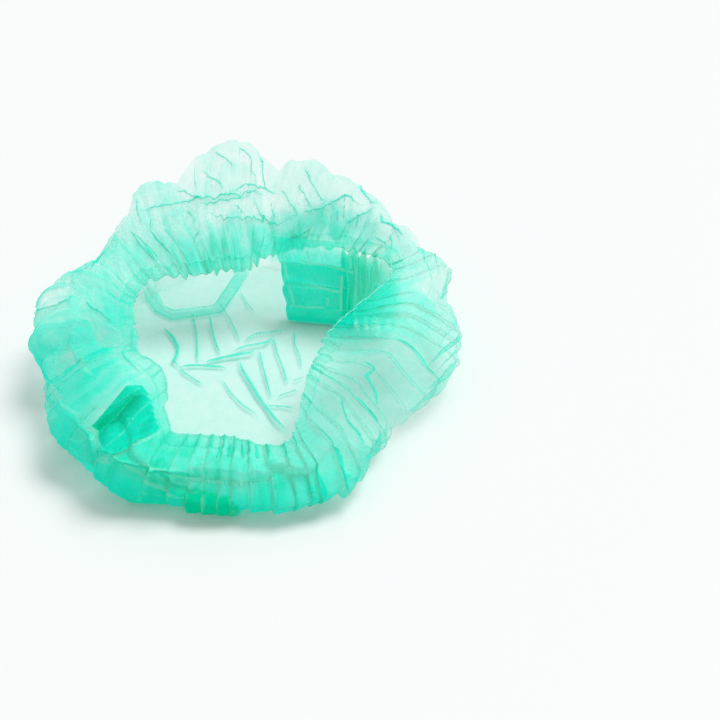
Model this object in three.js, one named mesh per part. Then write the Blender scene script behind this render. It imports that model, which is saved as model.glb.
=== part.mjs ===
import * as THREE from "three";

// A pleated clip cap of thin nonwoven fabric, opened out and lying with its mouth up.
// Millimetres, +Z up. The origin is the middle of the flat floor that the crown rests on.
// Azimuths are in degrees about the vertical through the origin, 0 along +X, 90 along +Y.
// The left seal joins the pleats near azimuth 237 and the right seal near azimuth 21.

const DEGREE = Math.PI / 180;
const DOWN = new THREE.Vector3(0, 0, -1);

// Fabric, hem and elastic
const WALL = 1.1; // crown fabric with the air that its crinkles hold
const SKIN = 0.9; // one ply of the hem casing
const GAP = 0.3; // clearance between two pieces
const THREAD = 1.1; // elastic thread, across
const THREAD_SIDES = 6;
const CASING_DEPTH = 7; // casing, from the rim down over the fabric
const HEM_STRIP = 9; // straight strip of crown fabric below the rim

// Fine pleats that run up the crown's wall
const FLUTES = 40;
const FLUTE_DEPTH = 1.5;
const FLUTE_WAVE = [1, -0.2, -0.8]; // steep on one side, as the pleats lie over
const SIDES = FLUTES * FLUTE_WAVE.length;
const STEP_ANGLE = 360 / SIDES;

// Seals, at whole steps of the ring
const LEFT_SEAL = 237;
const RIGHT_SEAL = 21;
const SEAL = { height: 30, length: 5, thickness: 3, ridges: 4, ridgeDepth: 0.4 };

// Upright cuts through the crown: the rim of the mouth, the shoulder above the wall,
// the widest girth, and the foot where the wall leaves the floor. r is the distance
// from the origin's vertical and z is the height, both on the outer face.
const CUTS = [
  { az: 10, rimR: 66, rimZ: 46, shoulderR: 98, shoulderZ: 46, girthR: 121, girthZ: 24, footR: 105 },
  { az: 24, rimR: 92, rimZ: 50, shoulderR: 106, shoulderZ: 52, girthR: 118, girthZ: 28, footR: 106 },
  { az: 40, rimR: 84, rimZ: 50, shoulderR: 100, shoulderZ: 64, girthR: 115, girthZ: 34, footR: 99 },
  { az: 58, rimR: 74, rimZ: 47, shoulderR: 101, shoulderZ: 74, girthR: 117, girthZ: 38, footR: 100 },
  { az: 76, rimR: 60, rimZ: 44, shoulderR: 97, shoulderZ: 80, girthR: 115, girthZ: 40, footR: 98 },
  { az: 92, rimR: 48, rimZ: 42, shoulderR: 102, shoulderZ: 86, girthR: 118, girthZ: 42, footR: 101 },
  { az: 108, rimR: 49, rimZ: 42, shoulderR: 98, shoulderZ: 82, girthR: 115, girthZ: 40, footR: 98 },
  { az: 127, rimR: 54, rimZ: 41, shoulderR: 98, shoulderZ: 73, girthR: 113, girthZ: 38, footR: 96 },
  { az: 145, rimR: 68, rimZ: 41, shoulderR: 92, shoulderZ: 62, girthR: 108, girthZ: 36, footR: 92 },
  { az: 165, rimR: 65, rimZ: 43, shoulderR: 92, shoulderZ: 56, girthR: 110, girthZ: 34, footR: 92 },
  { az: 185, rimR: 60, rimZ: 45, shoulderR: 94, shoulderZ: 50, girthR: 114, girthZ: 32, footR: 95 },
  { az: 205, rimR: 60, rimZ: 46, shoulderR: 96, shoulderZ: 46, girthR: 117, girthZ: 28, footR: 99 },
  { az: 225, rimR: 62, rimZ: 46, shoulderR: 98, shoulderZ: 40, girthR: 118, girthZ: 22, footR: 103 },
  { az: 242, rimR: 86, rimZ: 34, shoulderR: 104, shoulderZ: 30, girthR: 116, girthZ: 17, footR: 104 },
  { az: 255, rimR: 82, rimZ: 30, shoulderR: 102, shoulderZ: 25, girthR: 112, girthZ: 14, footR: 99 },
  { az: 270, rimR: 85, rimZ: 30, shoulderR: 103, shoulderZ: 24, girthR: 111, girthZ: 13, footR: 98 },
  { az: 287, rimR: 88, rimZ: 30, shoulderR: 106, shoulderZ: 24, girthR: 116, girthZ: 13, footR: 103 },
  { az: 302, rimR: 64, rimZ: 32, shoulderR: 98, shoulderZ: 28, girthR: 116, girthZ: 14, footR: 102 },
  { az: 318, rimR: 51, rimZ: 35, shoulderR: 84, shoulderZ: 34, girthR: 106, girthZ: 17, footR: 92 },
  { az: 336, rimR: 48, rimZ: 38, shoulderR: 86, shoulderZ: 38, girthR: 108, girthZ: 19, footR: 93 },
  { az: 354, rimR: 50, rimZ: 42, shoulderR: 92, shoulderZ: 44, girthR: 120, girthZ: 22, footR: 103 },
];

// Main folds and dents of the wall. Each reaches half a width to either side of its
// azimuth, and moves the shoulder out and up and the girth out by the lengths given.
const FOLDS = [
  { name: "left beak", az: LEFT_SEAL, half: 10, out: 13, up: 2, girthOut: 2 },
  { name: "right beak", az: RIGHT_SEAL, half: 10, out: 11, up: 2, girthOut: 0 },
  { name: "right corner", az: 46, half: 8, out: 5, up: 3, girthOut: 3 },
  { name: "right back dent", az: 61, half: 7, out: -4, up: -4, girthOut: -2 },
  { name: "right peak", az: 77, half: 7, out: 2, up: 6, girthOut: 1 },
  { name: "notch between the peaks", az: 86, half: 5, out: -4, up: -6, girthOut: -2 },
  { name: "left peak", az: 94, half: 8, out: 2, up: 5, girthOut: 1 },
  { name: "left back dent", az: 114, half: 8, out: -5, up: -5, girthOut: -2 },
  { name: "left corner", az: 127, half: 7, out: 5, up: 4, girthOut: 2 },
  { name: "left dent", az: 151, half: 10, out: -3, up: -2, girthOut: -5 },
];

// Pleats that were never pulled open: a thick corrugated slab beside each seal
const UNOPENED_PLEATS = [
  { name: "pleat_stack_right", start: [24, 51], end: [93, 41], thick: 10, top: 44, pitch: 8 },
  { name: "pleat_stack_left", start: [-49, -41], end: [-75, -63], thick: 7, top: 30, pitch: 6 },
];
const PLEAT_RIDGE = 1.4; // depth of the slab's corrugation

const FLOOR_RING = 0.55; // place of the ring inside the floor, as a share of its radius
// Steps of the wall's curve from foot to girth, girth to shoulder, and shoulder to hem
const WALL_STEPS = [2, 3, 2];
const RIM_SMOOTHING = 2; // cuts to either side that share the rim's direction
const FLOOR_LEAD = 12; // length of floor that gives the curve its direction at the foot

const COLOURS = {
  fabric: { color: 0x6ee9d0, roughness: 0.85, metalness: 0 },
  denseFabric: { color: 0x2fd9b0, roughness: 0.85, metalness: 0 },
  hem: { color: 0x4fe0c0, roughness: 0.8, metalness: 0 },
  seal: { color: 0x1fcfa2, roughness: 0.6, metalness: 0 },
  elastic: { color: 0xf2f4ee, roughness: 0.5, metalness: 0 },
};

// Smooth periodic value of one column of the cuts at an azimuth
function cutValue(column, azimuth) {
  const count = CUTS.length;
  const turn = ((azimuth % 360) + 360) % 360;
  let next = CUTS.findIndex((cut) => cut.az > turn);
  if (next < 0) next = 0;
  const at = (k) => CUTS[(k + count) % count];
  const apart = (from, to) => (to.az - from.az + 360) % 360;
  const [before, start, end, after] = [next - 2, next - 1, next, next + 1].map(at);
  const span = apart(start, end);
  const share = apart(start, { az: turn }) / span;
  const slopeStart = (end[column] - before[column]) / apart(before, end);
  const slopeEnd = (after[column] - start[column]) / apart(start, after);
  const square = share * share;
  const cube = square * share;
  return (
    (2 * cube - 3 * square + 1) * start[column] +
    (cube - 2 * square + share) * span * slopeStart +
    (3 * square - 2 * cube) * end[column] +
    (cube - square) * span * slopeEnd
  );
}

// Sum of the folds' pushes at an azimuth, each fading out as a cosine
function foldValue(column, azimuth) {
  let sum = 0;
  for (const fold of FOLDS) {
    const off = Math.abs(((azimuth - fold.az + 540) % 360) - 180);
    if (off < fold.half) {
      sum += fold[column] * Math.cos((off / fold.half) * (Math.PI / 2)) ** 2;
    }
  }
  return sum;
}

function atAzimuth(azimuth, radius, height) {
  const angle = azimuth * DEGREE;
  return new THREE.Vector3(radius * Math.cos(angle), radius * Math.sin(angle), height);
}

// Outer face of one upright cut, from the floor ring to the rim
function profile(step) {
  const azimuth = step * STEP_ANGLE;
  const footR = cutValue("footR", azimuth);
  const rim = new THREE.Vector3(cutValue("rimR", azimuth), 0, cutValue("rimZ", azimuth));
  const girth = new THREE.Vector3(
    cutValue("girthR", azimuth) + foldValue("girthOut", azimuth),
    0,
    cutValue("girthZ", azimuth),
  );
  const shoulder = new THREE.Vector3(
    cutValue("shoulderR", azimuth) + foldValue("out", azimuth),
    0,
    cutValue("shoulderZ", azimuth) + foldValue("up", azimuth),
  );
  const down = shoulder.clone().sub(rim).setLength(HEM_STRIP);
  const hemStart = rim.clone().add(down);
  const foot = new THREE.Vector3(footR, 0, 0);
  const lead = new THREE.Vector3(footR - FLOOR_LEAD, 0, 0);
  const curve = new THREE.CatmullRomCurve3([lead, foot, girth, shoulder, hemStart, rim]);
  const spans = 5;
  const points = [new THREE.Vector3(footR * FLOOR_RING, 0, 0), foot];
  const wave = FLUTE_DEPTH * FLUTE_WAVE[step % FLUTE_WAVE.length];
  let row = 0;
  const rows = WALL_STEPS.reduce((sum, steps) => sum + steps, 0);
  WALL_STEPS.forEach((steps, span) => {
    for (let k = 1; k <= steps; k += 1) {
      row += 1;
      const t = (1 + span + k / steps) / spans;
      const tangent = curve.getTangent(t);
      const outward = new THREE.Vector3(tangent.z, 0, -tangent.x);
      const depth = wave * Math.sin((Math.PI * row) / rows);
      points.push(curve.getPoint(t).addScaledVector(outward, depth));
    }
  });
  points.push(rim);
  return points.map((point) => atAzimuth(azimuth, point.x, point.z));
}

// Frames along the rim: its point, the way out of the fabric's edge, and the normal.
// The way out is the mean over a few cuts, so that the strip below the rim twists slowly.
function rimFrames(outer) {
  const rim = outer[0].length - 1;
  const column = (step) => outer[(step + SIDES) % SIDES];
  const wayOut = (step) => column(step)[rim].clone().sub(column(step)[rim - 1]).normalize();
  return outer.map((points, step) => {
    const along = new THREE.Vector3();
    for (let k = -RIM_SMOOTHING; k <= RIM_SMOOTHING; k += 1) along.add(wayOut(step + k));
    const around = column(step + 1)[rim].clone().sub(column(step - 1)[rim]);
    const normal = around.cross(along).normalize();
    return { middle: points[rim].clone(), along: along.normalize(), normal };
  });
}

// Grids of the crown's outer and inner faces, and the frames that its hem follows
function crownSurface() {
  const outer = Array.from({ length: SIDES }, (_, step) => profile(step));
  const rows = outer[0].length;
  const [rim, stripStart] = [rows - 1, rows - 2];
  const frames = rimFrames(outer);
  const normalAt = (step, row) => {
    if (row === 0) return DOWN;
    if (row >= stripStart) return frames[step].normal;
    const around = outer[(step + 1) % SIDES][row].clone();
    around.sub(outer[(step + SIDES - 1) % SIDES][row]);
    const along = outer[step][row + 1].clone().sub(outer[step][row - 1]);
    return around.cross(along).normalize();
  };
  const normals = outer.map((column, step) => column.map((_, row) => normalAt(step, row)));
  frames.forEach(({ middle, along, normal }, step) => {
    const face = middle.clone().addScaledVector(normal, WALL / 2);
    outer[step][rim].copy(face);
    outer[step][stripStart].copy(face).addScaledVector(along, -HEM_STRIP);
  });
  const inner = outer.map((column, step) =>
    column.map((point, row) => point.clone().addScaledVector(normals[step][row], -WALL)),
  );
  return { outer, inner, frames, rows };
}

function meshOf(name, vertices, triangles, colour) {
  const geometry = new THREE.BufferGeometry();
  const positions = vertices.flatMap((vertex) => vertex.toArray());
  geometry.setAttribute("position", new THREE.Float32BufferAttribute(positions, 3));
  geometry.setIndex(triangles);
  geometry.computeVertexNormals();
  return namedMesh(name, geometry, colour);
}

function namedMesh(name, geometry, colour) {
  const mesh = new THREE.Mesh(geometry, new THREE.MeshStandardMaterial(colour));
  mesh.name = name;
  return mesh;
}

function quad(a, b, c, d) {
  return [a, b, c, a, c, d];
}

// Shell of the crown: two faces joined along the rim, closed over the floor
function crown(surface) {
  const { outer, inner, rows } = surface;
  const vertices = [...outer.flat(), ...inner.flat()];
  const innerBase = SIDES * rows;
  const outerMiddle = vertices.push(new THREE.Vector3(0, 0, 0)) - 1;
  const innerMiddle = vertices.push(new THREE.Vector3(0, 0, WALL)) - 1;
  const triangles = [];
  for (let step = 0; step < SIDES; step += 1) {
    const here = step * rows;
    const next = ((step + 1) % SIDES) * rows;
    triangles.push(outerMiddle, next, here);
    triangles.push(innerMiddle, innerBase + here, innerBase + next);
    for (let row = 0; row < rows - 1; row += 1) {
      triangles.push(...quad(here + row, next + row, next + row + 1, here + row + 1));
      const [a, b] = [innerBase + here + row, innerBase + next + row];
      triangles.push(a, b + 1, b, a, a + 1, b + 1);
    }
    const rim = rows - 1;
    triangles.push(
      ...quad(here + rim, next + rim, innerBase + next + rim, innerBase + here + rim),
    );
  }
  return meshOf("crown", vertices, triangles, COLOURS.fabric);
}

// Channel section of the hem casing: n across the fabric, v beyond its edge
const FABRIC_SIDE = WALL / 2 + GAP;
const CASING_SIDE = FABRIC_SIDE + SKIN;
const THREAD_PLACE = GAP + THREAD / 2;
const CHANNEL_END = GAP + THREAD + GAP;
const CASING_END = CHANNEL_END + SKIN;
const CASING_SECTION = [
  { n: FABRIC_SIDE, v: -CASING_DEPTH },
  { n: CASING_SIDE, v: -CASING_DEPTH },
  { n: CASING_SIDE, v: CASING_END },
  { n: -CASING_SIDE, v: CASING_END },
  { n: -CASING_SIDE, v: -CASING_DEPTH },
  { n: -FABRIC_SIDE, v: -CASING_DEPTH },
  { n: -FABRIC_SIDE, v: CHANNEL_END },
  { n: FABRIC_SIDE, v: CHANNEL_END },
];
const CASING_CAP = [...quad(0, 1, 2, 7), ...quad(7, 2, 3, 6), ...quad(6, 3, 4, 5)];

const THREAD_SECTION = Array.from({ length: THREAD_SIDES }, (_, k) => {
  const angle = (k / THREAD_SIDES) * 2 * Math.PI;
  const radius = THREAD / 2;
  return { n: radius * Math.cos(angle), v: THREAD_PLACE + radius * Math.sin(angle) };
});
const THREAD_CAP = Array.from({ length: THREAD_SIDES - 2 }, (_, k) => [0, k + 1, k + 2]).flat();

function sectionAt(frame, section) {
  return section.map(({ n, v }) =>
    frame.middle.clone().addScaledVector(frame.normal, n).addScaledVector(frame.along, v),
  );
}

// Section at a place between two steps of the ring, on the straight lines between them
function sectionBetween(frames, section, place) {
  const step = Math.floor(place);
  const share = place - step;
  const from = sectionAt(frames[step % SIDES], section);
  const to = sectionAt(frames[(step + 1) % SIDES], section);
  return from.map((point, k) => point.lerp(to[k], share));
}

// A piece of one section that runs along the rim from one seal to the other
function alongRim(name, frames, section, cap, fromAzimuth, toAzimuth, colour) {
  const endSpace = 0.05; // share of a step left free at each seal
  const first = fromAzimuth / STEP_ANGLE;
  const last = toAzimuth / STEP_ANGLE;
  const places = [first + endSpace];
  for (let step = first + 1; step < last; step += 1) places.push(step);
  places.push(last - endSpace);
  const sections = places.map((place) => sectionBetween(frames, section, place));
  const size = section.length;
  const triangles = [];
  for (let k = 0; k < sections.length - 1; k += 1) {
    for (let side = 0; side < size; side += 1) {
      const other = (side + 1) % size;
      const [a, b] = [k * size + side, k * size + other];
      triangles.push(...quad(a, a + size, b + size, b));
    }
  }
  const end = (sections.length - 1) * size;
  triangles.push(...cap);
  for (let k = 0; k < cap.length; k += 3) {
    triangles.push(end + cap[k], end + cap[k + 2], end + cap[k + 1]);
  }
  return meshOf(name, sections.flat(), triangles, colour);
}

// Corrugated slab of pleats that stand on edge on the floor, fold beside fold
function unopenedPleats({ name, start, end, thick, top, pitch }) {
  const from = new THREE.Vector2(...start);
  const to = new THREE.Vector2(...end);
  const length = from.distanceTo(to);
  const count = Math.round(length / pitch);
  const side = (sign) => {
    const points = [];
    for (let k = 0; k <= 2 * count; k += 1) {
      const depth = thick / 2 - (k % 2) * PLEAT_RIDGE;
      points.push(new THREE.Vector2((k / (2 * count)) * length, sign * depth));
    }
    return points;
  };
  const shape = new THREE.Shape([...side(-1), ...side(1).reverse()]);
  const bottom = WALL + GAP;
  const geometry = new THREE.ExtrudeGeometry(shape, { depth: top - bottom, bevelEnabled: false });
  const mesh = namedMesh(name, geometry, COLOURS.denseFabric);
  mesh.position.set(from.x, from.y, bottom);
  mesh.rotation.z = Math.atan2(to.y - from.y, to.x - from.x);
  return mesh;
}

// Crimped tab that welds all the pleats together, upright against the beak of the crown
function endSeal(name, azimuth, surface) {
  const { height, length, thickness, ridges, ridgeDepth } = SEAL;
  const outline = (sign) => {
    const points = [];
    for (let k = 0; k <= 2 * ridges; k += 1) {
      const depth = thickness / 2 - (k % 2) * ridgeDepth;
      points.push(new THREE.Vector2((k / (2 * ridges)) * length, sign * depth));
    }
    return points;
  };
  const shape = new THREE.Shape([...outline(-1), ...outline(1).reverse()]);
  const geometry = new THREE.ExtrudeGeometry(shape, { depth: height, bevelEnabled: false });
  const step = Math.round(azimuth / STEP_ANGLE);
  const outwards = atAzimuth(azimuth, 1, 0);
  const reaches = surface.outer[step].flatMap((point, row) => {
    const behind = [step - 1, step + 1].map((k) => surface.outer[k][row]);
    return behind.map((other) => {
      const share = thickness / 2 / point.distanceTo(other);
      return Math.max(point.dot(outwards), point.clone().lerp(other, share).dot(outwards));
    });
  });
  const reach = Math.max(...reaches);
  const middle = (cutValue("girthZ", azimuth) + cutValue("shoulderZ", azimuth)) / 2;
  const mesh = namedMesh(name, geometry, COLOURS.seal);
  mesh.position.copy(atAzimuth(azimuth, reach + GAP, middle - height / 2));
  mesh.rotation.z = azimuth * DEGREE;
  return mesh;
}

const surface = crownSurface();
const halves = [
  { side: "front", from: LEFT_SEAL, to: RIGHT_SEAL + 360 },
  { side: "back", from: RIGHT_SEAL, to: LEFT_SEAL },
];

const cap = new THREE.Group();
cap.name = "clip_cap";
cap.add(crown(surface));
for (const { side, from, to } of halves) {
  const { frames } = surface;
  cap.add(alongRim(`hem_${side}`, frames, CASING_SECTION, CASING_CAP, from, to, COLOURS.hem));
  cap.add(
    alongRim(`elastic_${side}`, frames, THREAD_SECTION, THREAD_CAP, from, to, COLOURS.elastic),
  );
}
for (const pleats of UNOPENED_PLEATS) cap.add(unopenedPleats(pleats));
cap.add(endSeal("end_seal_left", LEFT_SEAL, surface));
cap.add(endSeal("end_seal_right", RIGHT_SEAL, surface));

export default cap;
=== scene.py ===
import math

import bpy
import numpy as np
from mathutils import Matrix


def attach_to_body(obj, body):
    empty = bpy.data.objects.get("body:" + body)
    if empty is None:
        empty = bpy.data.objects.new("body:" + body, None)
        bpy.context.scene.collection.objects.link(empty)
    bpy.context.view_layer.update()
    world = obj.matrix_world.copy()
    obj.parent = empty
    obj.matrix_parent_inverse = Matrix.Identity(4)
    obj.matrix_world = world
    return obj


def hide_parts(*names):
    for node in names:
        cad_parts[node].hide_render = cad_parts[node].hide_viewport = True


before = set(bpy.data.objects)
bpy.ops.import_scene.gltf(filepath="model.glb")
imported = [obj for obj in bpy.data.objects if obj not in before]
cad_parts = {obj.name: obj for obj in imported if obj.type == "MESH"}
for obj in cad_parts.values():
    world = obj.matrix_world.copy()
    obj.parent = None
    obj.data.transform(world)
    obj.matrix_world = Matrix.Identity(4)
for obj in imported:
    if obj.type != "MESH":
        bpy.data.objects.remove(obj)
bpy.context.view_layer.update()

# Lengths below are in millimetres and angles in degrees, until a mesh is made.
MM = 0.001

# Upright cuts through the crown, at an azimuth: rim r and z, shoulder r and z,
# girth r and z, and the r of the foot, where the wall leaves the floor.
CUTS = (
    (10, 66, 46, 98, 46, 121, 24, 105),
    (24, 92, 50, 106, 52, 118, 28, 106),
    (40, 84, 50, 100, 64, 115, 34, 99),
    (58, 74, 47, 101, 74, 117, 38, 100),
    (76, 60, 44, 97, 80, 115, 40, 98),
    (92, 48, 42, 102, 86, 118, 42, 101),
    (108, 49, 42, 98, 82, 115, 40, 98),
    (127, 54, 41, 98, 73, 113, 38, 96),
    (145, 68, 41, 92, 62, 108, 36, 92),
    (165, 65, 43, 92, 56, 110, 34, 92),
    (185, 60, 45, 94, 50, 114, 32, 95),
    (205, 60, 46, 96, 46, 117, 28, 99),
    (225, 62, 46, 98, 40, 118, 22, 103),
    (242, 86, 34, 104, 30, 116, 17, 104),
    (255, 82, 30, 102, 25, 112, 14, 99),
    (270, 85, 30, 103, 24, 111, 13, 98),
    (287, 88, 30, 106, 24, 116, 13, 103),
    (302, 64, 32, 98, 28, 116, 14, 102),
    (318, 51, 35, 84, 34, 106, 17, 92),
    (336, 48, 38, 86, 38, 108, 19, 93),
    (354, 50, 42, 92, 44, 120, 22, 103),
)
LEFT_SEAL = 237
RIGHT_SEAL = 21
# Main folds of the wall: azimuth, half width, shoulder out and up, girth out
WALL_FOLDS = (
    (LEFT_SEAL, 10, 13, 2, 2),
    (RIGHT_SEAL, 9, 16, -1, 2),
    (46, 8, 5, 3, 3),
    (61, 7, -4, -4, -2),
    (77, 7, 2, 4, 1),
    (86, 5, -4, -6, -2),
    (94, 8, 2, 5, 1),
    (114, 8, -5, -5, -2),
    (127, 7, 5, 4, 2),
    (151, 10, -3, -2, -5),
    (105, 12, 2, 2, 2),
    (129, 9, 0, -3, 0),
    (110, 6, 1, 3, 0),
    (99, 6, 0, 4, 0),
    (87, 6, 0, 9, 0),
    (80, 5, 0, -9, 0),
    (68, 8, 1, 7, 1),
    (60, 9, 3, 9, 3),
    (54, 6, 1, 4, 0),
    (33, 6, 5, 5, 4),
    (168, 9, 5, 0, 6),
    (196, 16, -4, 0, -4),
    (325, 30, -8, 0, -12),
    (191, 8, -2, 0, -4),
)
# Places where the rim stands further in: azimuth, half width, length
RIM_SHIFTS = (
    (209, 14, -3),
    (236, 15, 11),
    (268, 22, 6),
)
FLOOR_LEAD = 12  # length of floor that gives the wall's curve its direction
HEM_STRIP = 9  # straight cloth below the rim
EDGE = 0.35  # how far the wall's curve is drawn to straight panels

# Pleats that run up the wall: azimuth, width at the girth, how far each pleat folds over
# its neighbour on the wall and in the gathers below the hem, depth, slant, and crumple
PLEATS = (
    (0, 13, 1.5, 2.2, 1.4, 0.4, 0.8),
    (21, 11, 1.5, 2.4, 1.2, 0.4, 0.8),
    (45, 12, 0.5, 1.1, 0.8, 0.9, 0.55),
    (90, 13, 0.15, 0.8, 0.5, 0.6, 0.4),
    (125, 12, 0.4, 1.0, 0.8, 0.7, 0.6),
    (160, 13, 0.9, 1.2, 1.2, 0.7, 1.0),
    (200, 15, 0.9, 1.2, 1.2, 0.5, 1.1),
    (237, 12, 1.2, 1.4, 1.2, 0.2, 1.0),
    (262, 10, 2.2, 0.7, 1.3, 0.1, 0.7),
    (285, 10, 2.4, 0.9, 1.4, 0.1, 0.6),
    (305, 12, 2.2, 1.6, 2.0, 0.2, 0.6),
    (330, 13, 1.3, 1.6, 2.1, 0.4, 0.7),
)
PANEL = 30  # depth of one accordion panel of the unopened cap

# Layers of cloth at an azimuth: beside the hem, on the wall, and added by a fold, and how
# strongly the hem is gathered
DENSITY = (
    (0, 1.4, 0.35, 0.25, 0.5),
    (21, 1.5, 0.4, 0.2, 0.6),
    (33, 1.2, 0.1, 0.06, 0.9),
    (45, 1.8, 0.2, 0.12, 0.5),
    (65, 3.2, 0.22, 0.12, 0.5),
    (90, 3.9, 0.18, 0.1, 0.5),
    (110, 3.9, 0.22, 0.15, 0.5),
    (130, 2.0, 0.45, 0.3, 0.8),
    (150, 1.2, 0.5, 0.4, 0.5),
    (180, 1.2, 0.55, 0.5, 0.2),
    (205, 1.1, 0.7, 0.8, 0.0),
    (225, 1.2, 1.0, 0.9, 0.0),
    (240, 3.2, 2.8, 0.9, 0.1),
    (260, 3.3, 2.6, 0.7, 0.9),
    (285, 1.7, 1.7, 0.4, 1.0),
    (305, 1.0, 0.65, 0.3, 0.5),
    (330, 0.6, 0.04, 0.1, 0.3),
)
# Where the wall lies in more or fewer layers: ply, half width, soft edge, and a line in
# the unrolled plane
PATCHES = (
    (1.3, 9, 8, ((142, 119), (137, 147), (123, 170), (110, 183), (95, 213), (82, 224))),
    (1.0, 6, 8, ((-110, 208), (-75, 226), (-59, 240), (-20, 248), (8, 250), (40, 243))),
    (0.4, 19, 3, ((-123, 182), (-87, 195), (-57, 227), (8, 233), (40, 227))),
    (0.4, 3, 2, ((-115, 157), (-84, 173), (-71, 200), (-56, 214), (-35, 230), (-8, 231), (3, 229))),
    (0.8, 10, 8, ((-130, -97), (-143, -92))),
    (1.2, 6, 5, ((-101, -90), (-95, -100))),
    (0.3, 5, 4, ((-179, 37), (-186, -31))),
    (-0.9, 13, 6, ((-95, -117), (-116, -122))),
    (1.4, 6, 4, ((-70, -139), (-39, -142))),
    (1.5, 5, 3, ((-52, -125), (-39, -122), (-28, -118), (-16, -118))),
    (0.8, 6, 5, ((-64, -127), (-40, -133), (-3, -138), (20, -140))),
    (0.8, 14, 10, ((175, 36), (168, 25), (170, -19))),
    (1.5, 10, 12, ((80, 74), (50, 96), (20, 108))),
    (14.0, 6.0, 3, ((-22, -115), (-4, -114))),
)
# The front wall is rolled over: azimuth, distance of the roll's lip from the rim, size
LIP = (
    (225, 34, 0.0),
    (240, 28, 0.6),
    (257, 22, 1.0),
    (273, 21, 1.0),
    (279, 16, 1.0),
    (284, 11, 1.0),
    (289, 18, 1.0),
    (294, 26, 0.8),
    (304, 32, 0.0),
)

# Folds charted on the cloth laid out flat, in mm about the origin, so that a point of
# the wall lies further out than its foot. ply is the cloth added on the line, width the
# line's half width, and rise its height.
FLOOR_CREASES = (
    # ply, width, rise, points
    (1.3, 1.0, 1.2, ((-35, 56), (-32, 40), (-30, 27), (-29, 12))),
    (1.8, 1.1, 1.4, ((-25, 54), (-22, 38), (-19, 27), (-16, 18))),
    (1.0, 0.9, 1.0, ((-20, 65), (-13, 51), (-8, 38), (-5, 29))),
    (0.6, 0.9, 0.8, ((-8, 77), (-3, 65), (2, 56))),
    (2.8, 1.6, 1.8, ((-51, 42), (-45, 34), (-41, 25), (-41, 18), (-43, 13), (-39, 8))),
    (1.2, 1.0, 1.0, ((-39, 8), (-36, 3), (-29, -3), (-24, -7))),
    (1.8, 1.1, 1.4, ((-39, 8), (-29, 9), (-15, 8), (-12, 7))),
    (2.2, 1.9, 1.8, ((-25, 12), (-16, 15), (-7, 17), (2, 19), (4, 22))),
    (1.5, 1.4, 1.4, ((-9, 21), (-1, 25), (10, 28), (14, 34))),
    (0.8, 1.0, 1.0, ((-3, 30), (3, 36), (13, 38), (21, 40))),
    (2.4, 1.8, 1.8, ((-5, 14), (-3, 6), (3, -7), (8, -18), (13, -27), (19, -38), (25, -45))),
    (1.2, 1.1, 1.2, ((6, 23), (9, 8), (12, -5), (15, -18))),
    (1.3, 1.1, 1.2, ((14, 34), (17, 19), (21, 5), (24, -7))),
    (1.0, 1.0, 1.0, ((26, 40), (27, 27), (30, 16), (32, 5))),
    (0.9, 1.1, 1.0, ((-14, -2), (-8, -14), (-1, -24), (8, -32))),
    (0.9, 0.9, 0.8, ((12, -24), (21, -25), (29, -27))),
    (0.6, 0.9, 0.8, ((18, -17), (23, -15), (30, -12))),
    (0.6, 0.9, 0.8, ((27, -4), (33, -1))),
    (1.0, 1.0, 1.0, ((-70, 44), (-68, 25), (-64, 20))),
    (0.9, 0.9, 0.4, ((-73, 86), (-57, 57), (-47, 50.5), (-34.5, 52.5), (-17.5, 56), (-13, 69),
                     (-3, 96))),
    (0.9, 0.9, 0.4, ((-66, 90), (-52, 61), (-46.5, 57.5), (-35.5, 59.5), (-22.5, 62), (-19, 71),
                     (-10, 96))),
)
# Fine creases of the wall, which are all alike
FINE_CREASES = (
    ((-61, 184), (-66, 185), (-70, 190)),
    ((-58, 192), (-55, 197), (-48, 203), (-37, 223)),
    ((-38, 197), (-33, 206), (-19, 216)),
    ((-13, 201), (-1, 207), (6, 207), (5, 214), (12, 211), (13, 212)),
    ((10, 198), (17, 195), (18, 202), (22, 205), (24, 205)),
    ((-22, 230), (-13, 226), (1, 225), (11, 217), (33, 194), (38, 196)),
    ((-114, 134), (-119, 127), (-127, 127)),
    ((-121, 145), (-126, 139)),
    ((-88, 177), (-82, 192)),
    ((-83, 198), (-92, 192), (-105, 192)),
    ((-27, 237), (-10, 240), (-7, 242)),
    ((12, 226), (16, 223), (19, 224), (31, 217)),
    ((30, 201), (35, 204), (46, 215)),
    ((48, 199), (59, 203), (74, 204), (83, 207)),
    ((66, 191), (83, 196), (95, 192)),
    ((68, 182), (76, 185), (81, 186), (105, 176)),
    ((-140, 121), (-148, 133)),
    ((114, 159), (122, 159)),
    ((118, 169), (124, 168)),
    ((128, 140), (138, 140)),
    ((141, 110), (151, 108), (159, 101), (160, 97)),
    ((147, 105), (156, 98), (158, 92)),
    ((71, 225), (94, 216), (97, 213), (102, 199), (108, 191)),
    ((127, 156), (132, 146), (130, 139), (130, 125), (128, 120)),
    ((-131, 110), (-138, 115), (-149, 133)),
)
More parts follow.
